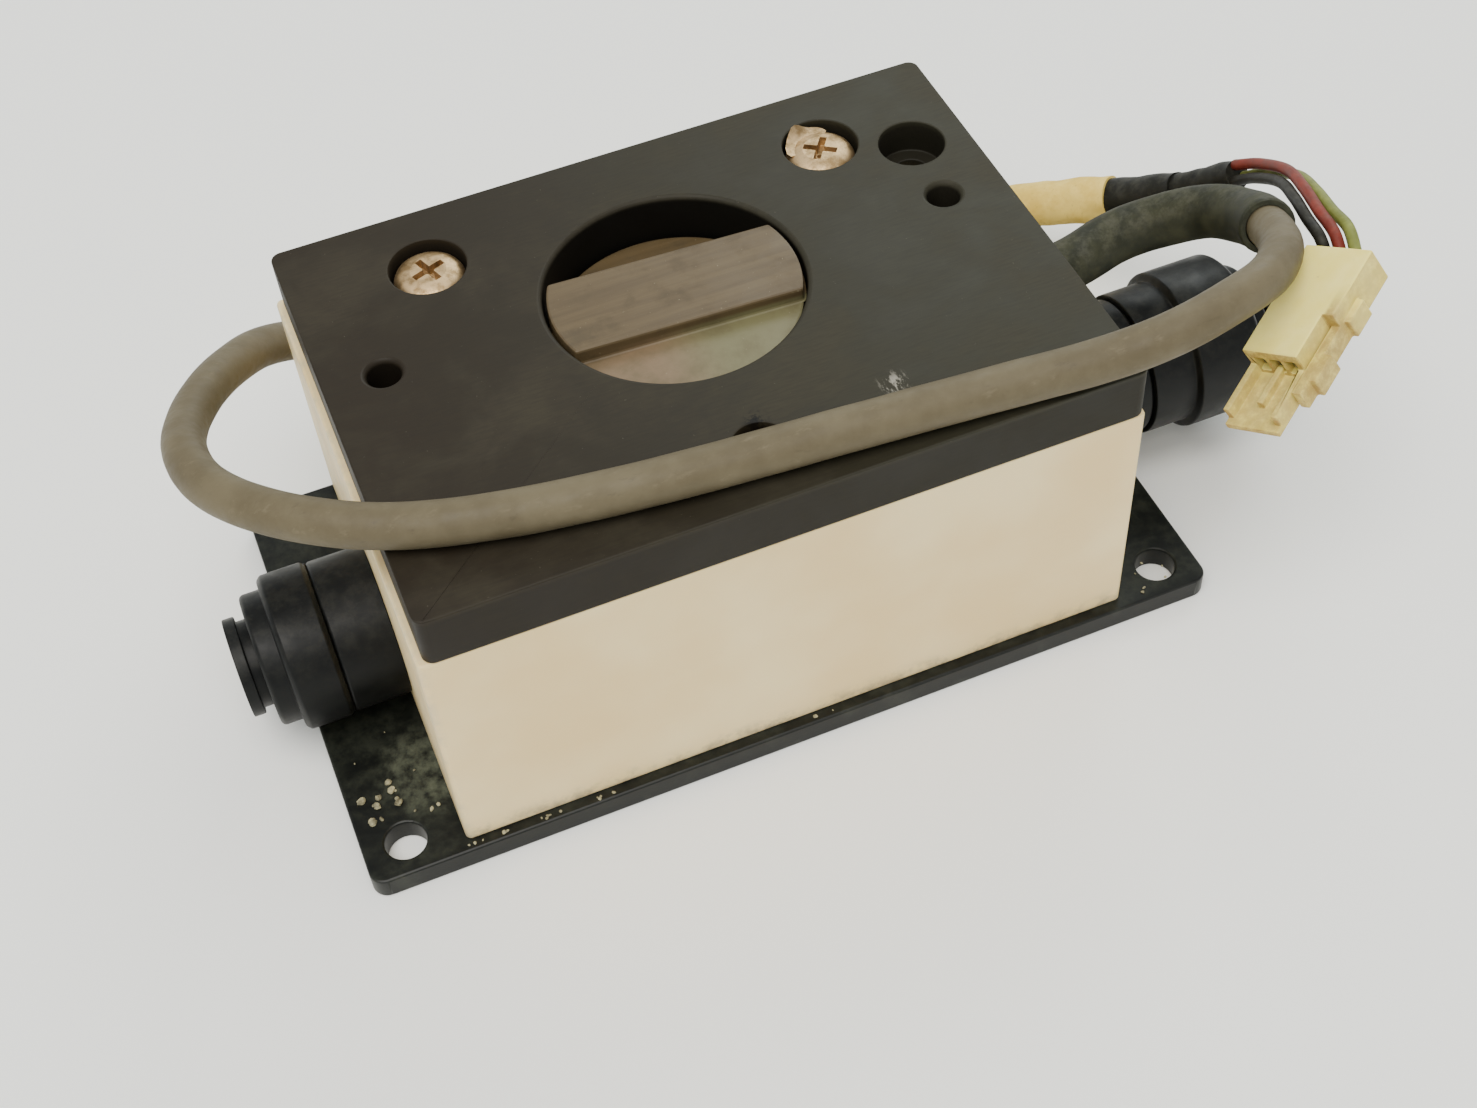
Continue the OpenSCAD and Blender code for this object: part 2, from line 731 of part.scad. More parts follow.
// Flat ribbon of wires: down from the gland, along the compartment's floor
// behind the gears, and up to the board
module inner_loom() {
    floor_z = compartment_floor_z + 0.05;
    ribbon = 0.5;
    run_y = 15;
    run_w = 2;
    color([0.4, 0.3, 0.3]) {
        translate([36.2, 1.5, floor_z]) cube([0.7, run_w, 6]);
        translate([33.6, 1.5, floor_z]) cube([2.7, run_y + run_w - 1.5, ribbon]);
        translate([-22, run_y, floor_z]) cube([56, run_w, ribbon]);
        translate([-22, run_y, floor_z]) cube([0.6, 1, board_z - 0.1 - floor_z]);
    }
}

// --------------------------------------------------------------- fittings

// Fixed body of a push-in fitting: shank in the block, neck outside it
module fitting(side, neck_l, neck_r) {
    stop = neck_l - 6;
    color([0.06, 0.07, 0.07]) on_pipe(side, [
        [-socket_depth + 0.3, flow_r], [-socket_depth + 0.3, socket_r - 0.05],
        [0.02, socket_r - 0.05], [0.02, neck_r], [neck_l - 0.4, neck_r],
        [neck_l, neck_r - 0.4], [neck_l, 6.6], [neck_l - 3, 6.6],
        [neck_l - 3, tube_socket_r], [stop, tube_socket_r], [stop, flow_r]
    ]);
}

// Collar that clamps the grip ring: a first part lead_l long of radius lead_r,
// then its full radius r, then a smaller nose ring
module collar(side, neck_l, collar_l, r, lead_l, lead_r) {
    s0 = neck_l + 0.05;
    s1 = neck_l + collar_l;
    step = s0 + lead_l;
    nose = s1 + nose_l;
    color([0.06, 0.07, 0.07]) on_pipe(side, [
        [s0, 7.05], [s0, lead_r], [step, lead_r], [step + 0.4, r],
        [s1 - 0.6, r], [s1, r - 0.6], [s1, 8.6], [nose - 0.4, 8.6],
        [nose, 8.2], [nose, 5.75], [s1 - 0.3, 5.75], [s1 - 0.3, 6.3],
        [s0 + 1.5, 6.3], [s0 + 1.5, 7.05]
    ]);
}

// Release collet that slides in the collar
module collet(side, neck_l, collar_l) {
    s1 = neck_l + collar_l;
    flange = s1 + nose_l + collet_travel + 0.15;
    color([0.06, 0.07, 0.07]) on_pipe(side, [
        [neck_l + 2.8, 5], [neck_l + 2.8, 6.22], [s1 - 0.4, 6.22],
        [s1 - 0.4, 5.67], [flange, 5.67], [flange, 6.4], [flange + 1.5, 6.4],
        [flange + 1.5, 5]
    ]);
}

module grip_ring(side, neck_l) {
    color([0.7, 0.7, 0.72])
        on_pipe(side, ring(neck_l + 0.25, neck_l + 1.45, 5, 6.95));
}

module tube_seal(side, neck_l) {
    color([0.08, 0.08, 0.08]) translate([side * (end_x + neck_l - 1.8), pipe_y, pipe_z])
        rotate([0, side * 90, 0]) rotate_extrude()
            translate([5.77, 0]) circle(0.8, $fn = 24);
}

module left_fitting() { fitting(-1, left_neck_l, left_neck_r); }
module left_collar() {
    collar(-1, left_neck_l, left_collar_l, left_collar_r, 0.1, left_collar_r - 0.4);
}
module left_collet() { collet(-1, left_neck_l, left_collar_l); }
module left_grip_ring() { grip_ring(-1, left_neck_l); }
module left_tube_seal() { tube_seal(-1, left_neck_l); }
module right_fitting() { fitting(1, right_neck_l, right_neck_r); }
module right_collar() {
    collar(1, right_neck_l, right_collar_l, right_collar_r,
        right_lead_in_l, right_collar_r - 1.1);
}
module right_collet() { collet(1, right_neck_l, right_collar_l); }
module right_grip_ring() { grip_ring(1, right_neck_l); }
module right_tube_seal() { tube_seal(1, right_neck_l); }

// ------------------------------------------------------------------- lead

module cable_gland() {
    color([0.2, 0.2, 0.17]) translate([compartment_l / 2, gland_xyz[1], gland_xyz[2]])
        rotate([0, 90, 0]) {
            cylinder(h = end_x - compartment_l / 2, r = 4.55);
            translate([0, 0, end_x - compartment_l / 2]) cylinder(h = 1.5, r = 5.4);
        }
}

module cable_sleeve() { color([0.25, 0.25, 0.21]) tube(sleeve_route, sleeve_d); }
module lead() { color([0.43, 0.39, 0.33]) tube(lead_route, lead_d); }
module marker_band() { color([0.78, 0.7, 0.43]) tube(band_route, 6.8); }
module heat_shrink_large() { color([0.07, 0.07, 0.07]) tube(shrink_large_route, 6); }
module heat_shrink_small() { color([0.07, 0.07, 0.07]) tube(shrink_small_route, 4.6); }

// Axis of the row of ways in the plug: its own +Y, turned with it
plug_row = [
    cos(plug_turn[2]) * sin(plug_turn[1]) * sin(plug_turn[0]) - sin(plug_turn[2]) * cos(plug_turn[0]),
    sin(plug_turn[2]) * sin(plug_turn[1]) * sin(plug_turn[0]) + cos(plug_turn[2]) * cos(plug_turn[0]),
    cos(plug_turn[1]) * sin(plug_turn[0])
];

// One wire: way is -1, 0 or 1 along the plug's row, and bunched is where the
// wire lies round the bunch's middle as it leaves the heat-shrink
module wire(way, bunched) {
    last = len(wire_route) - 1;
    route = concat(
        [for (i = [0:last])
            wire_route[i] + (1 - i / last) * bunched + i / last * way * wire_fan],
        [plug_rear + (way * plug_pitch + plug_shift) * plug_row]
    );
    tube(route, wire_d, sides = 8);
}

module wire_red() { color([0.65, 0.12, 0.1]) wire(0, [0, 0.8, 1.1]); }
module wire_green() { color([0.55, 0.6, 0.35]) wire(1, [0.9, -0.35, -0.4]); }
module wire_black() { color([0.1, 0.1, 0.1]) wire(-1, [-1, -0.5, -0.5]); }

// Puts a child at the plug, with +X from its rear to its nose
module at_plug() {
    translate(plug_rear) rotate(plug_turn) children();
}

module connector_housing() {
    cavity_w = 1.6;
    cavity_h = 2.3;
    cavity_from = 4;
    waist_from = 9.8; // the nose half is narrower, to clear the latch arm
    waist_y = 3.1;
    side_y = plug_w / 2;
    floor_z = -plug_h / 2;
    tongue_l = 8;
    wall = 0.9;
    arm_from = 9;
    arm_t = 1.3;
    arm_h = 2.8;
    color([0.92, 0.88, 0.67]) at_plug() {
        difference() {
            translate([0, -side_y, floor_z]) cube([plug_l, plug_w, plug_h]);
            for (k = [-1:1])
                translate([cavity_from, k * plug_pitch + plug_shift - cavity_w / 2, -cavity_h / 2])
                    cube([plug_l, cavity_w, cavity_h]);
            translate([waist_from, waist_y, floor_z - 1]) cube([plug_l, plug_w, plug_h + 2]);
        }
        // tongue: a floor with two side rails and a middle rib
        translate([plug_l - 0.5, -side_y, floor_z]) cube([tongue_l + 0.5, side_y + waist_y, wall]);
        for (y = [-side_y, waist_y - wall])
            translate([plug_l - 0.5, y, floor_z]) cube([tongue_l - 0.5, wall, plug_h / 2]);
        translate([plug_l - 0.5, (waist_y - side_y - wall) / 2, floor_z])
            cube([tongue_l - 2.5, wall, plug_h / 2 - 0.5]);
        // latch arm along one side: a spring with a thumb pad and a hook
        translate([arm_from, side_y - arm_t, floor_z]) cube([plug_l - 5.5, arm_t, arm_h]);
        translate([5.5, side_y - 0.5, floor_z]) cube([3.5, 1.3, arm_h]);
        translate([plug_l - 2.5, side_y - 0.5, floor_z]) cube([4, 1.5, arm_h]);
    }
}

module connector_contacts() {
    contact_w = 1.4;
    contact_h = 2.1;
    contact_l = plug_l - 5;
    mouth_w = 0.7;
    mouth_h = 1.3;
    color([0.8, 0.8, 0.75]) at_plug() for (k = [-1:1])
        translate([4.1, k * plug_pitch + plug_shift - contact_w / 2, -contact_h / 2])
            difference() {
                cube([contact_l, contact_w, contact_h]);
                translate([2, (contact_w - mouth_w) / 2, (contact_h - mouth_h) / 2])
                    cube([contact_l, mouth_w, mouth_h]);
            }
}

// -------------------------------------------------------------- selection

base_plate();
valve_body();
top_cover();
cover_seal();
cover_screws();
threaded_inserts();
base_screws();
position_knob();
drive_shaft();
output_gear();
position_magnet();
shaft_gear();
shaft_bush();
spindle_gear();
valve_spindle();
spindle_gland();
spindle_seal();
valve_ball();
left_seat();
right_seat();
seat_retainer();
compound_gear_a();
compound_gear_b();
gear_axles();
gear_plate();
plate_posts();
plate_screws();
motor_can();
motor_end_cap();
motor_ring();
motor_rotor();
motor_pinion();
circuit_board();
hall_sensors();
board_screws();
inner_loom();
left_fitting();
left_collar();
left_collet();
left_grip_ring();
left_tube_seal();
right_fitting();
right_collar();
right_collet();
right_grip_ring();
right_tube_seal();
cable_gland();
cable_sleeve();
lead();
marker_band();
heat_shrink_large();
heat_shrink_small();
wire_red();
wire_green();
wire_black();
connector_housing();
connector_contacts();
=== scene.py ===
import json
import math
import random

import bmesh
import bpy
from mathutils import Euler, Matrix, Vector, noise


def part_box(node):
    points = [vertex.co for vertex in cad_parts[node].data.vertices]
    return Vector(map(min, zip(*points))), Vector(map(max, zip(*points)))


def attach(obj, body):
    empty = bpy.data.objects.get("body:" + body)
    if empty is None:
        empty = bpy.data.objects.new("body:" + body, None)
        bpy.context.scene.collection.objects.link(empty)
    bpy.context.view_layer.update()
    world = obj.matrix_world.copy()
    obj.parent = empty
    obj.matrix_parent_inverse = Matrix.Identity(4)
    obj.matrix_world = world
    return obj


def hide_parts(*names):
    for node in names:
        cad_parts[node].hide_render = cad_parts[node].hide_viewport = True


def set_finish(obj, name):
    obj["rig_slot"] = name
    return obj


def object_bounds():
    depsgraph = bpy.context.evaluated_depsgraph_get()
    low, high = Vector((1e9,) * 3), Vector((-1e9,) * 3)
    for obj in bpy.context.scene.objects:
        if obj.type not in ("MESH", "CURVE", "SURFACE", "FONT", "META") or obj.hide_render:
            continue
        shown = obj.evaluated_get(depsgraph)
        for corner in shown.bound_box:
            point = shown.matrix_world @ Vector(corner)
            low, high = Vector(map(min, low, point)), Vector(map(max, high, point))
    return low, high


# Looks of the motorised actuator head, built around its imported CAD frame.
# Everything is in metres in the CAD frame: +Z is up, the origin is the middle of the four
# mounting holes on the underside of the base plate, and +X runs along the pipe.
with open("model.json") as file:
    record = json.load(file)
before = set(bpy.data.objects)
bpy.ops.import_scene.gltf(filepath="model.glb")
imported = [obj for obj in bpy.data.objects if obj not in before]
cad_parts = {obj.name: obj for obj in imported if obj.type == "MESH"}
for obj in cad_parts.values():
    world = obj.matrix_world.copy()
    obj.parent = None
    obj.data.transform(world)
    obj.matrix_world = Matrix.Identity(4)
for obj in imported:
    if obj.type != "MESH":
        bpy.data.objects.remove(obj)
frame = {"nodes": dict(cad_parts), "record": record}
cad_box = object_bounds()

MM = 0.001
CASING = "casing"


# ------------------------------------------------------------------ camera

# Where the camera is, the direction it faces away from, and the direction to its right
CAMERA_PLACE = Vector((-0.05367, -0.17002, 0.21770))
CAMERA_BACK = Vector((-0.20186, -0.60152, 0.77294))
CAMERA_RIGHT = Vector((0.92414, -0.37834, -0.05309))
LENS_MM = 50
SENSOR_MM = 36


def make_camera():
    """The camera that the object is looked at from."""
    data = bpy.data.cameras.new("camera")
    data.lens = LENS_MM
    data.sensor_width = SENSOR_MM
    camera = bpy.data.objects.new("camera", data)
    bpy.context.scene.collection.objects.link(camera)
    back = CAMERA_BACK.normalized()
    right = (CAMERA_RIGHT - back * CAMERA_RIGHT.dot(back)).normalized()
    turn = Matrix((right, back.cross(right), back)).transposed()
    camera.matrix_world = Matrix.Translation(CAMERA_PLACE) @ turn.to_4x4()
    bpy.context.scene.camera = camera


make_camera()


# ------------------------------------------------------------------ helpers

def mm(*points):
    """Points given in millimetres, as vectors in metres."""
    return [Vector(p) * MM for p in points]


def add_mesh(name, vertices, faces, sharp_degrees=35):
    """A smooth-shaded mesh object whose edges sharper than the angle stay sharp."""
    mesh = bpy.data.meshes.new(name)
    mesh.from_pydata([tuple(v) for v in vertices], [], faces)
    mesh.validate()
    mesh.shade_smooth()
    mesh.set_sharp_from_angle(angle=math.radians(sharp_degrees))
    piece = bpy.data.objects.new(name, mesh)
    bpy.context.scene.collection.objects.link(piece)
    return piece


def smooth_route(points, step=MM):
    """Points about step apart on one smooth curve through the route's points."""
    padded = [2 * points[0] - points[1], *points, 2 * points[-1] - points[-2]]
    line = []
    for a, b, c, d in zip(padded, padded[1:], padded[2:], padded[3:]):
        count = max(1, round((c - b).length / step))
        for i in range(count):
            t = i / count
            line.append(0.5 * (
                2 * b + (c - a) * t + (2 * a - 5 * b + 4 * c - d) * t ** 2
                + (3 * b - a - 3 * c + d) * t ** 3))
    line.append(points[-1])
    return line


def section(line, start, end):
    """The stretch of a line between the points of it nearest to start and end."""
    first, last = (min(range(len(line)), key=lambda i: (line[i] - p).length) for p in (start, end))
    return line[first:last + 1]


def frames_along(line):
    """Two sideways directions at each point of a line, carried along without twist."""
    found = []
    side = None
    for i, p in enumerate(line):
        ahead = (line[min(i + 1, len(line) - 1)] - line[max(i - 1, 0)]).normalized()
        side = ahead.cross(Vector((0, 0, 1))) if side is None else side - ahead * side.dot(ahead)
        side = side.normalized()
        found.append((side, ahead.cross(side)))
    return found


def sweep(name, line, profile, sides=28, loop=False, wobble=0.0, wobble_size=4 * MM):
    """A skin round a line. The profile's entries are (share of the line's length, radius), and may
    turn back inside; loop joins the last entry to the first. Wobble is a small uneven swelling."""
    frames = frames_along(line)
    vertices = []
    for share, radius in profile:
        at = max(0.0, min(1.0, share)) * (len(line) - 1)
        i = min(int(at), len(line) - 2)
        centre = line[i].lerp(line[i + 1], at - i)
        across, up = frames[i + 1] if at - i > 0.5 else frames[i]
        for k in range(sides):
            angle = 2 * math.pi * k / sides
            out = across * math.cos(angle) + up * math.sin(angle)
            swell = wobble * noise.noise((centre + out * radius) / wobble_size)
            vertices.append(centre + out * (radius + swell))
    rings = len(profile)
    faces = []
    for j in range(rings if loop else rings - 1):
        a, b = j * sides, (j + 1) % rings * sides
        for k in range(sides):
            n = (k + 1) % sides
            faces.append((a + k, a + n, b + n, b + k))
    if not loop:
        faces.append(tuple(reversed(range(sides))))
        faces.append(tuple(range((rings - 1) * sides, rings * sides)))
    piece = add_mesh(name, vertices, faces)
    tidy = bmesh.new()
    tidy.from_mesh(piece.data)
    bmesh.ops.recalc_face_normals(tidy, faces=tidy.faces)
    tidy.to_mesh(piece.data)
    tidy.free()
    return piece


def even(count, radius, start=0.0, end=1.0):
    """Profile entries at even shares of a line, with a radius or a rule for it."""
    shares = [start + (end - start) * i / count for i in range(count + 1)]
    return [(s, radius(s) if callable(radius) else radius) for s in shares]


# ------------------------------------------------------------------- cords

LEAD_R = 2.65 * MM
SLEEVE_R = 3.55 * MM
BAND_R = 3.4 * MM
SHRINK_LARGE_R = 3.0 * MM
SHRINK_SMALL_R = 2.3 * MM
WIRE_R = 0.75 * MM
WIRE_STEP = 0.6 * MM

SLEEVE_ROUTE = mm(
    (46.5, 2.5, 30), (54, 3.5, 30), (61, 5, 30.5), (67, 4, 32),
    (72, 0, 35), (73, -6.5, 39), (71, -14, 44))
LEAD_ROUTE = mm(
    (71, -14, 44), (67.5, -21.5, 48), (62, -27, 50.5),
    (54.5, -30, 51.5), (46.5, -31, 50.8), (38, -30, 49.4),
    (26.5, -28.6, 48.9), (14.5, -27.6, 48.9), (2.5, -26.7, 48.9),
    (-9, -25.8, 48.9), (-20, -24.6, 48.9), (-31, -22.7, 48.9),
    (-41.5, -19.6, 48.9), (-49.5, -15, 48.6), (-56, -8.5, 47.5),
    (-60, -1.5, 46), (-61.2, 6, 44), (-60.2, 13.5, 41),
    (-57.3, 21, 38), (-53.4, 28, 34.5), (-48.4, 34.8, 30),
    (-42, 39.6, 24.5), (-34.8, 42, 18.5), (-26.5, 43, 12),
    (-16.5, 42.8, 6.5), (-6, 42, 3.4), (6, 41.5, 2.7),
    (20, 41, 2.7), (34, 40.5, 2.8), (46, 39.5, 4.5),
    (55, 37.8, 8), (62, 34.5, 12))
BAND_ROUTE = mm((62, 34.5, 12), (68.5, 30, 14.5), (73.5, 25, 17))
SHRINK_LARGE_ROUTE = mm((73.5, 25, 17), (76.5, 20.5, 20), (78.7, 16.4, 23.5))
SHRINK_SMALL_ROUTE = mm((78.7, 16.4, 23.5), (81, 12.5, 27), (82.5, 9, 30.5))
WIRE_ROUTE = mm(
    (82.5, 9, 30.5), (83, 4.6, 34.2), (81.6, -2.8, 39.6),
    (78.9, -9.8, 43.4), (76.5, -16.3, 45.9), (75.2, -21.2, 47.2))
# Each wire's colour, its way in the plug and its place in the bunch at the heat-shrink
WIRES = (
    ("red", 0, Vector((0, 0.8, 1.1)) * MM),
    ("green", 1, Vector((0.9, -0.35, -0.4)) * MM),
    ("black", -1, Vector((-1, -0.5, -0.5)) * MM))
WIRE_FAN = Vector((1.8, -0.3, 0.2)) * MM
PLUG_REAR = Vector((74.7, -25.1, 46.2)) * MM
PLUG_PITCH = 2.2 * MM
PLUG_SHIFT = -0.7 * MM
PLUG_TURN = Euler([math.radians(angle) for angle in (28, 18, 212)])
PLUG_ROW = PLUG_TURN.to_matrix() @ Vector((0, 1, 0))
PLUG_AXIS = PLUG_TURN.to_matrix() @ Vector((1, 0, 0))

WHOLE_LEAD = smooth_route(
    SLEEVE_ROUTE + LEAD_ROUTE[1:] + BAND_ROUTE[1:]
    + SHRINK_LARGE_ROUTE[1:] + SHRINK_SMALL_ROUTE[1:])


def make_sleeve():
    """The dark sleeve over the lead's first stretch, a soft tube with an open end."""
    line = section(WHOLE_LEAD, SLEEVE_ROUTE[0], SLEEVE_ROUTE[-1])
    clearance = 0.12 * MM
    outside = even(60, SLEEVE_R, 0, 0.985) + [(0.995, SLEEVE_R * 0.985), (1, SLEEVE_R * 0.94)]
    inside = even(12, LEAD_R + clearance, 1, 0)
    piece = sweep("cable_sleeve_tube", line, outside + inside, loop=True,
                  wobble=0.14 * MM, wobble_size=5 * MM)
    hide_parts("cable_sleeve")
    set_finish(piece, "sleeve_olive")
    return piece


def make_band():
    """The paper tape band: a thick, uneven turn."""
    line = section(WHOLE_LEAD, BAND_ROUTE[0], BAND_ROUTE[-1])
    clearance = 0.05 * MM
    dent = 0.1 * MM
    outside = even(22, lambda s: BAND_R - dent * math.sin(9 * s) ** 2)
    inside = even(6, LEAD_R + clearance, 1, 0)
    piece = sweep("marker_band_tape", line, outside + inside, sides=36, loop=True,
                  wobble=0.3 * MM, wobble_size=2.6 * MM)
    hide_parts("marker_band")
    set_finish(piece, "band_ochre")
    return piece


def make_shrinks():
    """The two heat-shrink tubes: the large one necks down on to the small one."""
    large = section(WHOLE_LEAD, SHRINK_LARGE_ROUTE[0], SHRINK_LARGE_ROUTE[-1])
    small = section(WHOLE_LEAD, SHRINK_SMALL_ROUTE[0], SHRINK_SMALL_ROUTE[-1])

    overlap = 0.25 * MM
    neck_start = 0.6

    def neck(s):
        drop = max(0.0, (s - neck_start) / (1 - neck_start))
        fall = SHRINK_LARGE_R - SHRINK_SMALL_R - overlap
        return SHRINK_LARGE_R - fall * drop ** 2 * (3 - 2 * drop)

    wide = sweep("heat_shrink_large_tube", large, even(24, neck), wobble=0.16 * MM,
                 wobble_size=2.5 * MM)
    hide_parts("heat_shrink_large")
    narrow = sweep(
        "heat_shrink_small_tube", small,
        even(20, lambda s: SHRINK_SMALL_R * (1 - 0.1 * s ** 3)), wobble=0.2 * MM,
        wobble_size=2.2 * MM)
    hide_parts("heat_shrink_small")
    for piece in (wide, narrow):
        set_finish(piece, "shrink_black")
    return [wide, narrow]


def make_lead():
    """The grey-brown lead, from the gland through the sleeve to the large heat-shrink."""
    line = section(WHOLE_LEAD, SLEEVE_ROUTE[0], SHRINK_LARGE_ROUTE[1])
    piece = sweep("lead_cord", line, even(len(line) - 1, LEAD_R), wobble=0.05 * MM,
                  wobble_size=6 * MM)
    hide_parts("lead")
    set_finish(piece, "lead_brown")
    return piece


def wire_line(way, bunched):
    """The middle of one wire: way is -1, 0 or 1 along the plug's row of ways."""
    last = len(WIRE_ROUTE) - 1
    points = [
        p + bunched * (1 - i / last) + WIRE_FAN * way * i / last
        for i, p in enumerate(WIRE_ROUTE)]
    end = PLUG_REAR + PLUG_ROW * (way * PLUG_PITCH + PLUG_SHIFT)
    return smooth_route(points + [end], WIRE_STEP)


def make_wires():
    """Three thin insulated wires from the small heat-shrink to the plug."""
    made = []
    for colour, way, bunched in WIRES:
        line = wire_line(way, bunched)
        piece = sweep(f"wire_{colour}_cord", line, even(len(line) - 1, WIRE_R), sides=16)
        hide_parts(f"wire_{colour}")
        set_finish(piece, f"wire_{colour}")
        made.append(piece)
    return made


sleeve = make_sleeve()
band = make_band()
shrinks = make_shrinks()
lead = make_lead()
cord_pieces = [sleeve, band, *shrinks, lead, *make_wires()]
for cord_piece in cord_pieces:
    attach(cord_piece, CASING)


# --------------------------------------------------------- crumbs and residue

# Heaps of grains on the base plate: middle, spread, count and largest radius, in millimetres
HEAPS = (
    ((-54, -21.6), 0.7, 4, 0.75), ((-54.4, -24.4), 0.8, 3, 0.65),
    ((-51, -21.8), 1.0, 4, 0.6), ((-49, -24.6), 1.2, 3, 0.4),
    ((-50, -15), 3.6, 4, 0.26), ((-47.5, -19), 1.6, 3, 0.3),
    ((-40.3, -32), 0.5, 4, 0.45), ((-35, -31.9), 1.5, 5, 0.28),
    ((-28.2, -31.9), 0.8, 4, 0.3), ((2, -31.8), 1.2, 3, 0.25),
    ((50, -29), 2.5, 7, 0.25))
# Grains stay behind the plate's front edge, and in front of the block along its foot
PLATE_FRONT_Y = -32.2 * MM
FOOT_Y = -31.9 * MM
FOOT_HALF_X = 46 * MM
CRUMB_SEED = 7
GRAIN_LUMP = 0.3 * MM
GRAIN_SINK = 0.02 * MM


def make_crumbs():
    """Pale grains and dirt lying on the base plate, most of them by the left front hole."""
    draw = random.Random(CRUMB_SEED)
    noise.seed_set(CRUMB_SEED)
    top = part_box("base_plate")[1].z
    grains = bmesh.new()
    for (x, y), spread, count, largest in HEAPS:
        for _ in range(count):
            size = largest * draw.uniform(0.45, 1) * MM
            place = Vector((x + draw.gauss(0, spread), y + draw.gauss(0, spread), 0)) * MM
            place.y = max(place.y, PLATE_FRONT_Y)
            if -FOOT_HALF_X < place.x < FOOT_HALF_X:
                place.y = min(place.y, FOOT_Y)
            turn = Matrix.Rotation(draw.uniform(0, math.tau), 4, "Z")
            stretch = Matrix.Diagonal((1, draw.uniform(0.6, 1), draw.uniform(0.4, 0.8), 1))
            raised = Matrix.Translation(place + Vector((0, 0, top + size * 0.35)))
            made = bmesh.ops.create_icosphere(
                grains, subdivisions=2, radius=size, matrix=raised @ turn @ stretch)
            for v in made["verts"]:
                v.co += noise.noise_vector(v.co / GRAIN_LUMP) * size * 0.35
                v.co.z = max(v.co.z, top - GRAIN_SINK)
    mesh = bpy.data.meshes.new("base_crumbs")
    grains.to_mesh(mesh)
    grains.free()
    piece = bpy.data.objects.new("base_crumbs", mesh)
    bpy.context.scene.collection.objects.link(piece)
    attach(piece, CASING)
    return piece


def make_seal_residue():
    """A broken crust of sealing lacquer on the far left of the right-hand cover screw."""
    screw_middle = Vector((26.5, 22.15, 0)) * MM
    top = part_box("cover_screws")[1].z
    rows, columns = 7, 16
    first_angle, swept_angle = 55, 120
    inner_radius, width = 3.3, 1.35
    peak_at, peak_spread, peak_rise = 0.5, 0.14, 1.3
    least_rise, edge_rise = 0.1, 0.15
    grain_size = 0.12 * MM
    sunk = 0.35 * MM
    thickness = 0.1 * MM
    vertices = []
    for side in (0, 1):
        for j in range(rows):
            for i in range(columns):
                u, v = i / (columns - 1), j / (rows - 1)
                angle = math.radians(first_angle + swept_angle * u)
                out = Vector((math.cos(angle), math.sin(angle), 0))
                ragged = 0.35 + 0.65 * abs(noise.noise(Vector((u * 6.1, 3.3, 0.7))))
                peak = edge_rise + peak_rise * math.exp(-((u - peak_at) / peak_spread) ** 2)
                taper = math.sin(math.pi * u) ** 0.5
                radius = (inner_radius + width * v * (0.45 + 0.55 * taper)) * MM
                rise = (least_rise + peak * taper * v ** 1.6 * (0.55 + ragged)) * MM
                grain = noise.noise(Vector((u * 9, v * 5, 2.0))) * grain_size
                place = screw_middle + out * (radius + grain)
                place.z = top - sunk + (rise if side else rise * 0.2 - thickness)
                vertices.append(place)
    faces = []
    layer = rows * columns
    for j in range(rows - 1):
        for i in range(columns - 1):
            a = j * columns + i
            quad = (a, a + 1, a + columns + 1, a + columns)
            faces.append(tuple(reversed(quad)))
            faces.append(tuple(layer + n for n in quad))
    rim = (
        list(range(columns))
        + [j * columns + columns - 1 for j in range(1, rows)]
        + [(rows - 1) * columns + i for i in reversed(range(columns - 1))]
        + [j * columns for j in reversed(range(1, rows - 1))])
    for a, b in zip(rim, rim[1:] + rim[:1]):
        faces.append((a, b, layer + b, layer + a))
    piece = add_mesh("screw_seal_residue", vertices, faces, 60)
    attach(piece, CASING)
    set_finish(piece, "screw_brass")
    return piece


crumbs = make_crumbs()
residue = make_seal_residue()


# ------------------------------------------------------------- soft edges

WELD_DISTANCE = 0.002 * MM
FLAT_ANGLE = math.radians(0.5)
SHARP_ANGLE = math.radians(35)


def soften(node, width):
    """Rounds a CAD node's sharp edges by modifiers, and evens the shading of its flat faces."""
    piece = frame["nodes"][node]
    weld = piece.modifiers.new("weld", "WELD")
    weld.merge_threshold = WELD_DISTANCE
    flatten = piece.modifiers.new("flatten", "DECIMATE")
    flatten.decimate_type = "DISSOLVE"
    flatten.angle_limit = FLAT_ANGLE
    bevel = piece.modifiers.new("bevel", "BEVEL")
    bevel.width = width
    bevel.segments = 2
    bevel.limit_method = "ANGLE"
    bevel.angle_limit = SHARP_ANGLE
    bevel.use_clamp_overlap = False
    bevel.miter_outer = "MITER_ARC"
    shade = piece.modifiers.new("shade", "WEIGHTED_NORMAL")
    shade.keep_sharp = True


# Widths of the rounded edges, in millimetres
EDGE_WIDTHS = {
    "base_plate": 0.3, "valve_body": 0.35, "top_cover": 0.22, "position_knob": 0.3,
    "cover_screws": 0.04, "cable_gland": 0.25, "connector_housing": 0.18,
    "connector_contacts": 0.06, "left_fitting": 0.15, "left_collar": 0.2, "left_collet": 0.15,
    "right_fitting": 0.15, "right_collar": 0.2, "right_collet": 0.15}
for node_name, edge_mm in EDGE_WIDTHS.items():
    soften(node_name, edge_mm * MM)


# --------------------------------------------------------------- materials

def srgb(red, green, blue):
    """A colour given as 0 to 255 display values, as linear RGBA."""
    def linear(c):
        c /= 255
        return c / 12.92 if c <= 0.04045 else ((c + 0.055) / 1.055) ** 2.4
    return (linear(red), linear(green), linear(blue), 1)


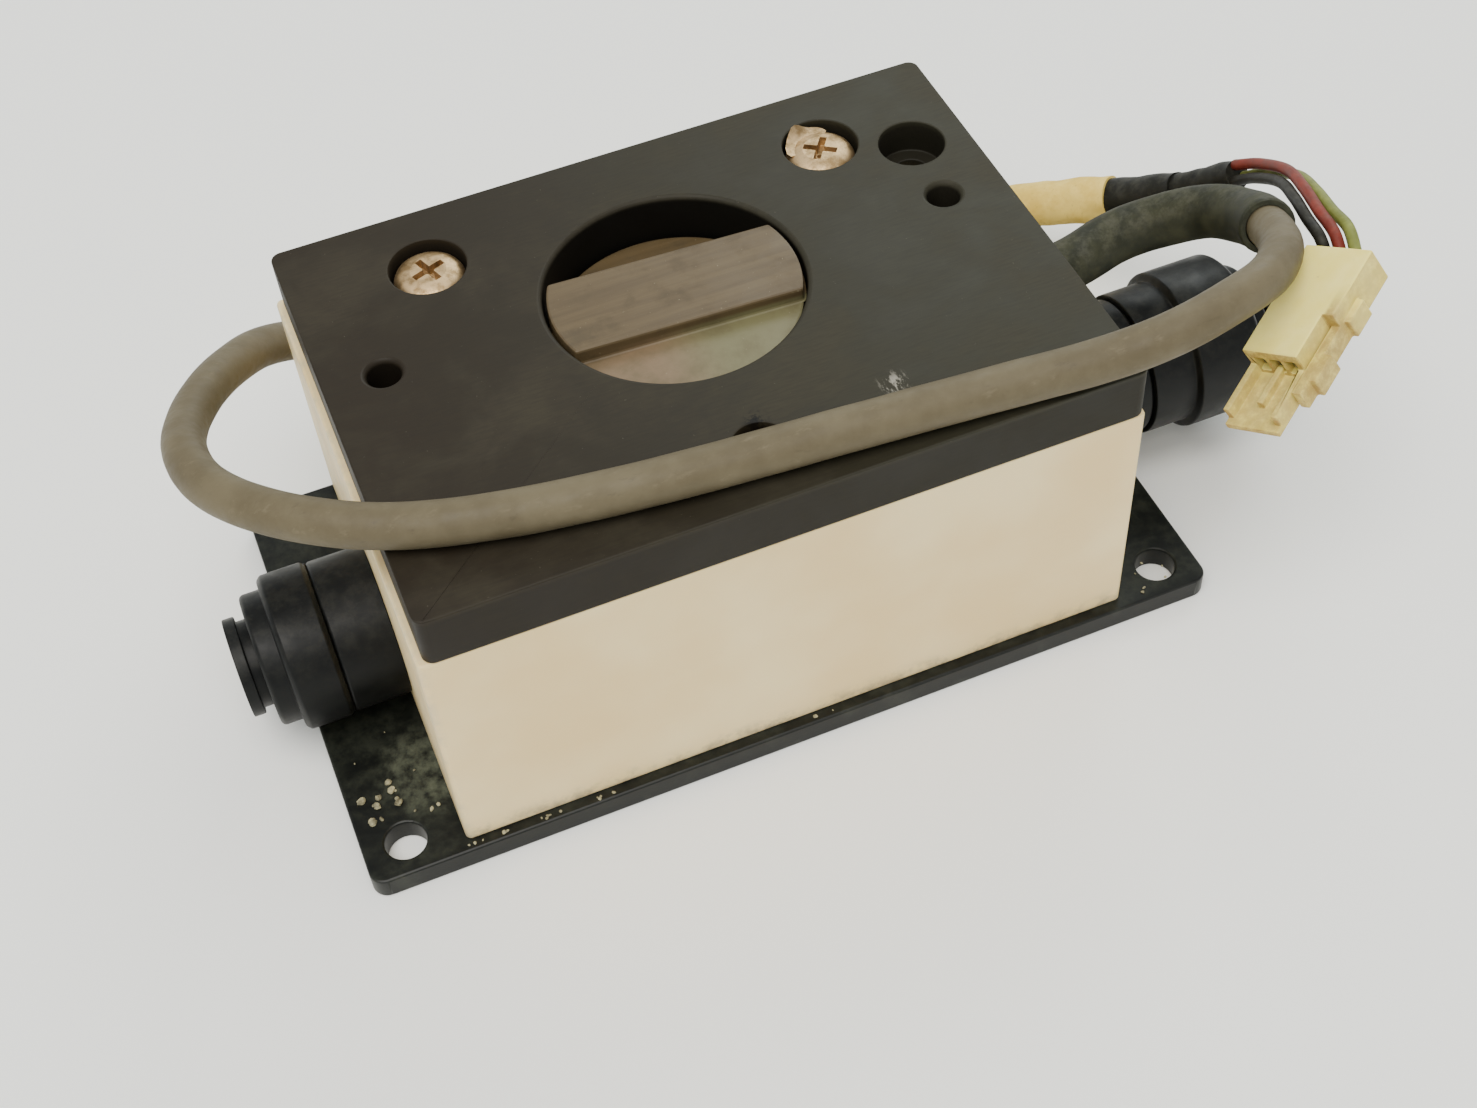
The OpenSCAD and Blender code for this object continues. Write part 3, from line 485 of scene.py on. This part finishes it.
class Finish:
    """A procedural material: a Principled shader and the nodes that drive it."""

    def __init__(self, name, **fixed):
        self.material = bpy.data.materials.new(name)
        self.material.use_nodes = True
        self.tree = self.material.node_tree
        self.shader = self.tree.nodes["Principled BSDF"]
        for socket, value in fixed.items():
            self.shader.inputs[socket.replace("_", " ")].default_value = value
        self.place = self.node("ShaderNodeTexCoord").outputs["Object"]

    def node(self, kind, **settings):
        made = self.tree.nodes.new(kind)
        for name, value in settings.items():
            setattr(made, name, value)
        return made

    def put(self, value, socket):
        """Sets a socket to a value, or links it to another node's output."""
        if isinstance(value, bpy.types.NodeSocket):
            self.tree.links.new(value, socket)
        else:
            socket.default_value = value

    def stretched(self, x, y, z):
        """The place scaled along each axis, for grain that runs one way."""
        made = self.node("ShaderNodeVectorMath", operation="MULTIPLY")
        self.put(self.place, made.inputs[0])
        made.inputs[1].default_value = (x, y, z)
        return made.outputs[0]

    def axis(self, name):
        made = self.node("ShaderNodeSeparateXYZ")
        self.put(self.place, made.inputs[0])
        return made.outputs[name]

    def speckle(self, size, detail=4, rough=0.55, vector=None, distortion=0.0):
        """Noise whose lumps are about size metres across, from 0 to 1."""
        made = self.node("ShaderNodeTexNoise")
        self.put(vector or self.place, made.inputs["Vector"])
        made.inputs["Scale"].default_value = 1 / size
        made.inputs["Detail"].default_value = detail
        made.inputs["Roughness"].default_value = rough
        made.inputs["Distortion"].default_value = distortion
        return made.outputs["Fac"]

    def between(self, value, low, high, to_low=0.0, to_high=1.0):
        """The value, with low to high stretched to to_low to to_high and clamped there."""
        made = self.node("ShaderNodeMapRange", interpolation_type="SMOOTHSTEP")
        self.put(value, made.inputs["Value"])
        for socket, number in (("From Min", low), ("From Max", high),
                               ("To Min", to_low), ("To Max", to_high)):
            made.inputs[socket].default_value = number
        return made.outputs["Result"]

    def calc(self, operation, a, b=0.0):
        made = self.node("ShaderNodeMath", operation=operation, use_clamp=True)
        self.put(a, made.inputs[0])
        self.put(b, made.inputs[1])
        return made.outputs[0]

    def near(self, middle, radius, soft):
        """1 by the upright line through a point (x, y) and 0 beyond radius from it, in
        millimetres. The fall starts at the share soft of the radius."""
        apart = self.node("ShaderNodeVectorMath", operation="DISTANCE")
        self.put(self.stretched(1, 1, 0), apart.inputs[0])
        apart.inputs[1].default_value = Vector((*middle, 0)) * MM
        return self.between(apart.outputs["Value"], radius * soft * MM, radius * MM, 1.0, 0.0)

    def facing_up(self):
        """How far the surface faces up, from -1 to 1."""
        made = self.node("ShaderNodeSeparateXYZ")
        self.put(self.node("ShaderNodeNewGeometry").outputs["Normal"], made.inputs[0])
        return made.outputs["Z"]

    def along(self, start, direction):
        """How far the place lies from start in a direction."""
        made = self.node("ShaderNodeVectorMath", operation="DOT_PRODUCT")
        self.put(self.place, made.inputs[0])
        made.inputs[1].default_value = direction
        shift = self.node("ShaderNodeMath", operation="SUBTRACT")
        self.put(made.outputs["Value"], shift.inputs[0])
        shift.inputs[1].default_value = start.dot(direction)
        return shift.outputs[0]

    def mix(self, share, first, second):
        made = self.node("ShaderNodeMix", data_type="RGBA")
        self.put(share, made.inputs["Factor"])
        self.put(first, made.inputs["A"])
        self.put(second, made.inputs["B"])
        return made.outputs["Result"]

    def surface(self, colour, roughness, bump=None, strength=0.2, depth=0.05 * MM):
        self.put(colour, self.shader.inputs["Base Color"])
        self.put(roughness, self.shader.inputs["Roughness"])
        if bump is not None:
            made = self.node("ShaderNodeBump")
            made.inputs["Strength"].default_value = strength
            made.inputs["Distance"].default_value = depth
            self.put(bump, made.inputs["Height"])
            self.put(made.outputs["Normal"], self.shader.inputs["Normal"])
        return self.material


# Stretches of the object, in metres, over which a finish fades in or out
BLOCK_ENDS_X = (-45 * MM, 45 * MM)
COVER_RIM_Z = (45.3 * MM, 45.9 * MM)
BLOCK_FOOT_Z = (3.3 * MM, 7 * MM)
BLOCK_LEFT_X = (-45.2 * MM, -43.5 * MM)
BASE_FOOT_Y = (-33.0 * MM, -31.3 * MM)
# The knob's front ledge, where a painted reflection is laid on
LEDGE_Z = (44.6 * MM, 45.2 * MM)
LEDGE_Y = (-0.8 * MM, 0.2 * MM)
LEDGE_TONES_X = (-7 * MM, 3 * MM)
# The same on the plug, for its painted shade: across its row of ways, and along it from the wires'
# end
ARM_ACROSS = (3.2 * MM, 3.8 * MM)
ARM_ALONG = (5 * MM, 10 * MM)
TONGUE_ALONG = (15.5 * MM, 17.5 * MM)
# Round patches: middle and radius in millimetres, and how soft their edge is
WELL_PATCH = ((0, 5.75), 24, 0.95)
SCRAPE_PATCH = ((17.2, -20.6), 2.6, 0.15)
DIRT_PATCH = ((0.4, -19.2), 2.2, 0.1)
BASE_DUST_PATCH = ((-46.5, -19.5), 10, 0.1)


def cover_finish():
    """Satin charcoal sheet with a grain along X, smudges, a few pale scratches, a painted
    reflection towards +X and painted shade on its sides and well.
    """
    f = Finish("cover_charcoal", Specular_IOR_Level=0.16)
    grain = f.speckle(0.35 * MM, 5, 0.6, f.stretched(0.12, 1, 1))
    smudge = f.speckle(14 * MM, 5, 0.6, distortion=0.4)
    fine = f.speckle(0.5 * MM, 3, 0.7)
    # Painted reflection: the sheet is painted lighter and greener towards +X, for the light it
    # catches from behind and to the right.
    reflection_along_x = f.between(f.axis("X"), *BLOCK_ENDS_X)
    colour = f.mix(reflection_along_x, srgb(38, 32, 23), srgb(44, 43, 32))
    colour = f.mix(f.between(smudge, 0.42, 0.72, 0, 0.5), colour, srgb(58, 54, 42))
    colour = f.mix(f.between(grain, 0.35, 0.7, 0, 0.28), colour, srgb(30, 27, 23))
    colour = f.mix(f.between(fine, 0.70, 0.76, 0, 0.4), colour, srgb(96, 92, 80))
    scrape = f.calc("MULTIPLY", f.near(*SCRAPE_PATCH),
                    f.between(f.speckle(0.8 * MM, 4, 0.7, f.stretched(1, 0.35, 1)), 0.5, 0.62))
    dirt = f.calc("MULTIPLY", f.near(*DIRT_PATCH),
                  f.between(f.speckle(1.1 * MM, 4, 0.7), 0.44, 0.56))
    colour = f.mix(scrape, colour, srgb(140, 136, 124))
    colour = f.mix(dirt, colour, srgb(16, 15, 14))
    # Painted shade: every face below the top rim, such as the sides, the holes and the well's
    # walls, is painted darker, and the well darker still, near black.
    below_top = f.between(f.axis("Z"), *COVER_RIM_Z, 1.0, 0.0)
    well_shade = f.calc("MULTIPLY", below_top, f.near(*WELL_PATCH))
    colour = f.mix(f.calc("MULTIPLY", below_top, 0.55), colour, srgb(22, 19, 16))
    colour = f.mix(f.calc("MULTIPLY", well_shade, 0.8), colour, srgb(5, 5, 4))
    rough = f.between(smudge, 0.3, 0.75, 0.46, 0.64)
    return f.surface(colour, rough, f.calc("ADD", grain, fine), 0.16, 0.04 * MM)


def block_finish():
    """Cream nylon, faintly see-through, darker in patches towards its foot, with faint tool marks
    and painted shade on its left end.
    """
    f = Finish("block_cream", Specular_IOR_Level=0.4, Subsurface_Weight=0.18,
               Subsurface_Scale=2 * MM)
    f.shader.inputs["Subsurface Radius"].default_value = (1.0, 0.65, 0.4)
    cloud = f.speckle(22 * MM, 3, 0.5)
    marks = f.speckle(0.4 * MM, 4, 0.6, f.stretched(0.1, 0.1, 1))
    colour = f.mix(f.between(cloud, 0.35, 0.7), srgb(240, 217, 164), srgb(230, 202, 144))
    # Darker in patches towards the foot, where the block meets the base plate.
    foot = f.between(f.axis("Z"), *BLOCK_FOOT_Z, 1.0, 0.0)
    foot_darkening = f.calc("MULTIPLY", foot, f.between(f.speckle(2.5 * MM, 5, 0.65), 0.4, 0.68, 0, 0.7))
    colour = f.mix(foot_darkening, colour, srgb(150, 135, 108))
    # Painted shade with a grey-green painted reflection: the left end face and the last stretch of
    # the front are painted greyer, in patches.
    left = f.between(f.axis("X"), *BLOCK_LEFT_X, 1.0, 0.0)
    dust_and_shade = f.calc("MULTIPLY", left, f.between(f.speckle(3 * MM, 5, 0.7), 0.4, 0.7, 0, 0.5))
    colour = f.mix(dust_and_shade, colour, srgb(170, 168, 150))
    rough = f.between(marks, 0.3, 0.7, 0.42, 0.55)
    return f.surface(colour, rough, marks, 0.1, 0.03 * MM)


def base_finish():
    """Near-black satin plate with grey-green dust on its left end and by the block's foot."""
    f = Finish("base_black", Specular_IOR_Level=0.22)
    lumps = f.speckle(1.6 * MM, 6, 0.68)
    broad = f.speckle(6 * MM, 4, 0.6, distortion=0.6)
    fine = f.speckle(0.3 * MM, 3, 0.6)
    left = f.calc("MULTIPLY", f.near(*BASE_DUST_PATCH), 0.75)
    foot = f.between(f.axis("Y"), *BASE_FOOT_Y, 0.0, 0.12)
    wherever = f.calc("MAXIMUM", left, foot)
    dust_and_shade = f.calc("MULTIPLY", wherever, f.between(lumps, 0.25, 0.7))
    dust_and_shade = f.calc("MULTIPLY", dust_and_shade, f.between(broad, 0.24, 0.6))
    thin = f.calc("MULTIPLY", f.between(broad, 0.5, 0.75), 0.1)
    colour = f.mix(f.between(broad, 0.35, 0.7), srgb(12, 14, 13), srgb(19, 21, 19))
    colour = f.mix(f.calc("MAXIMUM", dust_and_shade, thin), colour, srgb(104, 109, 90))
    rough = f.between(dust_and_shade, 0.0, 0.5, 0.36, 0.85)
    return f.surface(colour, rough, f.calc("ADD", fine, dust_and_shade), 0.2, 0.05 * MM)


def knob_finish():
    """Worn olive-brown plastic: fine marks along the bar, and a speckled front ledge painted paler
    as a painted reflection.
    """
    f = Finish("knob_olive", Specular_IOR_Level=0.3, Coat_Weight=0.05, Coat_Roughness=0.3)
    streaks = f.speckle(1.1 * MM, 5, 0.6, f.stretched(0.06, 1, 0.4))
    cloud = f.speckle(5 * MM, 5, 0.65)
    speck = f.speckle(0.45 * MM, 3, 0.7)
    colour = f.mix(f.between(streaks, 0.3, 0.75), srgb(88, 74, 50), srgb(76, 63, 42))
    colour = f.mix(f.between(cloud, 0.5, 0.75, 0, 0.5), colour, srgb(58, 50, 35))
    # Painted reflection: the front ledge is painted paler, from tan to greener along X, for the
    # light it catches from behind.
    on_ledge = f.calc("MULTIPLY", f.between(f.axis("Z"), *LEDGE_Z, 1.0, 0.0),
                      f.between(f.axis("Y"), *LEDGE_Y, 1.0, 0.0))
    ledge = f.mix(f.between(f.axis("X"), *LEDGE_TONES_X), srgb(116, 97, 74), srgb(104, 100, 70))
    ledge = f.mix(f.between(cloud, 0.4, 0.7, 0, 0.6), ledge, srgb(86, 78, 54))
    colour = f.mix(on_ledge, colour, ledge)
    colour = f.mix(f.between(speck, 0.68, 0.74, 0, 0.5), colour, srgb(140, 132, 106))
    rough = f.between(cloud, 0.3, 0.7, 0.32, 0.55)
    return f.surface(colour, rough, streaks, 0.12, 0.05 * MM)


def moulded_finish(name, dark, light, rough, dust_and_shade, **fixed):
    """Moulded plastic or rubber: uneven colour, a fine surface and a little dust."""
    f = Finish(name, **fixed)
    cloud = f.speckle(3 * MM, 5, 0.6)
    fine = f.speckle(0.25 * MM, 3, 0.6)
    colour = f.mix(f.between(cloud, 0.35, 0.68), dark, light)
    if dust_and_shade:
        top = f.between(f.facing_up(), 0.2, 0.95, 0, dust_and_shade)
        patchy = f.calc("MULTIPLY", top, f.between(f.speckle(1.8 * MM, 6, 0.7), 0.4, 0.68))
        colour = f.mix(patchy, colour, srgb(126, 124, 110))
    uneven = f.between(cloud, 0.3, 0.7, rough, rough + 0.14)
    return f.surface(colour, uneven, fine, 0.12, 0.03 * MM)


def metal_finish(name, dark, light, rough, turned=False):
    """Bare or plated metal with fine marks and slightly tarnished patches."""
    f = Finish(name, Metallic=1.0)
    cloud = f.speckle(1.6 * MM, 5, 0.6)
    marks = f.speckle(0.2 * MM, 4, 0.6, f.stretched(1, 1, 0.1) if turned else None)
    colour = f.mix(f.between(cloud, 0.38, 0.68), light, dark)
    uneven = f.between(marks, 0.3, 0.7, rough, rough + 0.16)
    return f.surface(colour, uneven, marks, 0.15, 0.02 * MM)


def lead_finish():
    """Aged grey-brown outer sheath, scuffed pale on top, with dirt in its pores."""
    f = Finish("lead_brown", Specular_IOR_Level=0.3)
    cloud = f.speckle(9 * MM, 5, 0.65)
    scuff = f.speckle(1.4 * MM, 6, 0.7, f.stretched(0.4, 1, 1))
    fine = f.speckle(0.3 * MM, 3, 0.6)
    colour = f.mix(f.between(cloud, 0.35, 0.68), srgb(86, 77, 56), srgb(99, 90, 68))
    colour = f.mix(f.between(scuff, 0.56, 0.74, 0, 0.35), colour, srgb(124, 114, 93))
    colour = f.mix(f.between(scuff, 0.42, 0.28, 0, 0.4), colour, srgb(68, 59, 44))
    return f.surface(colour, f.between(scuff, 0.3, 0.7, 0.5, 0.68), fine, 0.2, 0.05 * MM)


def band_finish():
    """Crepe paper tape, ochre, with fine cross wrinkles and darker dirty edges."""
    f = Finish("band_ochre", Specular_IOR_Level=0.25)
    wrinkle = f.speckle(0.5 * MM, 4, 0.6, f.stretched(1, 1, 0.35))
    cloud = f.speckle(3.5 * MM, 5, 0.6)
    colour = f.mix(f.between(cloud, 0.35, 0.68), srgb(232, 204, 112), srgb(214, 182, 88))
    colour = f.mix(f.between(wrinkle, 0.6, 0.78, 0, 0.5), colour, srgb(150, 128, 70))
    return f.surface(colour, 0.78, wrinkle, 0.5, 0.12 * MM)


def connector_finish():
    """Aged cream nylon, with brown painted shade, made patchy, on its low sides, its latch arm and
    its tongue.
    """
    f = Finish("connector_cream", Specular_IOR_Level=0.3, Subsurface_Weight=0.05,
               Subsurface_Scale=1 * MM)
    cloud = f.speckle(5 * MM, 4, 0.6)
    dirt = f.speckle(1.5 * MM, 6, 0.7)
    colour = f.mix(f.between(cloud, 0.35, 0.68), srgb(252, 236, 138), srgb(246, 228, 118))
    # Painted shade: brown laid on the faces that turn away from up, on the latch arm and on the
    # tongue, made patchy by the dirt noise.
    low_side = f.between(f.facing_up(), 0.7, 0.2, 0, 0.8)
    arm = f.between(f.along(PLUG_REAR, PLUG_ROW), *ARM_ACROSS, 0, 0.7)
    arm = f.calc("MULTIPLY", arm, f.between(f.along(PLUG_REAR, PLUG_AXIS), *ARM_ALONG))
    tongue = f.between(f.along(PLUG_REAR, PLUG_AXIS), *TONGUE_ALONG, 0, 0.55)
    painted_shade = f.calc("MAXIMUM", low_side, f.calc("MAXIMUM", arm, tongue))
    painted_shade = f.calc("MULTIPLY", painted_shade, f.between(dirt, 0.2, 0.62, 0.35, 1.0))
    colour = f.mix(painted_shade, colour, srgb(132, 94, 54))
    colour = f.mix(f.between(dirt, 0.62, 0.78, 0, 0.4), colour, srgb(170, 146, 92))
    return f.surface(colour, f.between(dirt, 0.3, 0.7, 0.42, 0.6), dirt, 0.12, 0.05 * MM)


def crumb_finish():
    """Pale yellow-grey grains, no two quite alike."""
    f = Finish("crumb_mix", Specular_IOR_Level=0.3)
    tone = f.speckle(1.1 * MM, 2, 0.5)
    colour = f.mix(f.between(tone, 0.3, 0.7), srgb(168, 162, 128), srgb(104, 99, 78))
    return f.surface(colour, 0.8, f.speckle(0.15 * MM), 0.3, 0.03 * MM)


def all_finishes():
    """The record's material slots, each with its finish."""
    glossy = {"Coat_Weight": 0.1, "Coat_Roughness": 0.2, "Specular_IOR_Level": 0.5}
    satin = {"Specular_IOR_Level": 0.22}
    made = {
        "cover_charcoal": cover_finish(),
        "block_cream": block_finish(),
        "base_black": base_finish(),
        "knob_olive": knob_finish(),
        "lead_brown": lead_finish(),
        "band_ochre": band_finish(),
        "connector_cream": connector_finish(),
        "screw_brass": metal_finish("screw_brass", srgb(150, 124, 86), srgb(204, 176, 134), 0.45),
        "brass": metal_finish("brass", srgb(160, 124, 64), srgb(208, 172, 100), 0.28, True),
        "steel": metal_finish("steel", srgb(120, 122, 126), srgb(178, 180, 184), 0.28, True),
        "polished_steel": metal_finish(
            "polished_steel", srgb(186, 188, 192), srgb(214, 216, 220), 0.1),
        "copper": metal_finish("copper", srgb(120, 64, 36), srgb(184, 104, 60), 0.3, True)}
    # Darkest and lightest colour, roughness, dust and the shader's fixed values
    plain = {
        "black_plastic": ((6, 7, 7), (12, 14, 13), 0.4, 0.05, satin),
        "black_rubber": ((20, 20, 20), (34, 34, 33), 0.6, 0.1, {}),
        "gear_white": ((206, 206, 198), (232, 232, 226), 0.38, 0.0, {}),
        "board_green": ((18, 66, 40), (30, 92, 56), 0.3, 0.0, glossy),
        "sleeve_olive": ((34, 36, 25), (52, 53, 38), 0.65, 0.15, satin),
        "shrink_black": ((12, 12, 9), (26, 26, 19), 0.5, 0.12, satin),
        "wire_red": ((98, 34, 24), (126, 50, 38), 0.5, 0.1, satin),
        "wire_green": ((104, 110, 48), (134, 140, 72), 0.5, 0.05, satin),
        "wire_black": ((16, 15, 11), (30, 28, 21), 0.5, 0.1, satin)}
    for name, (dark, light, rough, dust_and_shade, fixed) in plain.items():
        made[name] = moulded_finish(name, srgb(*dark), srgb(*light), rough, dust_and_shade, **fixed)
    return made


def dress(piece, material):
    """Gives the whole piece one material."""
    piece.data.materials.clear()
    piece.data.materials.append(material)


finishes = all_finishes()
for subpart in frame["record"]["subparts"]:
    dress(frame["nodes"][subpart["node"]], finishes[subpart["material_slot"]])
for cord_piece in cord_pieces:
    dress(cord_piece, finishes[cord_piece["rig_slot"]])
dress(residue, finishes["screw_brass"])
dress(crumbs, crumb_finish())


# --------------------------------------------------------- floor and lights

FLOOR_HALF = 2.5
ROOM_COLOUR = (0.95, 0.98, 0.99, 1)
ROOM_STRENGTH = 0.82
# Name, place, size in metres, watts and colour of each light
LIGHTS = (
    ("ceiling_light", (-0.25, -0.35, 1.1), 0.9, 15, (1, 0.97, 0.92)),
    ("window_light", (0.7, 0.9, 0.8), 0.8, 8, (0.94, 1, 0.97)))


def make_floor():
    """A plain pale floor that the object stands on."""
    corners = [(-1, -1), (1, -1), (1, 1), (-1, 1)]
    floor = add_mesh(
        "floor", [(x * FLOOR_HALF, y * FLOOR_HALF, 0) for x, y in corners], [(0, 1, 2, 3)])
    f = Finish("floor_paper", Specular_IOR_Level=0.2)
    tone = f.speckle(60 * MM, 3, 0.5)
    colour = f.mix(tone, srgb(248, 249, 245), srgb(252, 252, 248))
    dress(floor, f.surface(colour, 0.9))


def make_light(name, place, target, size, watts, colour):
    """A soft round light turned towards the target."""
    data = bpy.data.lights.new(name, "AREA")
    data.shape = "DISK"
    data.size = size
    data.energy = watts
    data.color = colour
    light = bpy.data.objects.new(name, data)
    light.location = place
    light.rotation_euler = (Vector(place) - Vector(target)).to_track_quat("Z", "Y").to_euler()
    bpy.context.scene.collection.objects.link(light)


def make_world():
    """The even light of the room round the object."""
    world = bpy.data.worlds.new("room")
    world.use_nodes = True
    background = world.node_tree.nodes["Background"]
    background.inputs["Color"].default_value = ROOM_COLOUR
    background.inputs["Strength"].default_value = ROOM_STRENGTH
    bpy.context.scene.world = world


make_floor()
make_world()
middle = (cad_box[0] + cad_box[1]) / 2
for name, place, size, watts, colour in LIGHTS:
    make_light(name, place, middle, size, watts, colour)
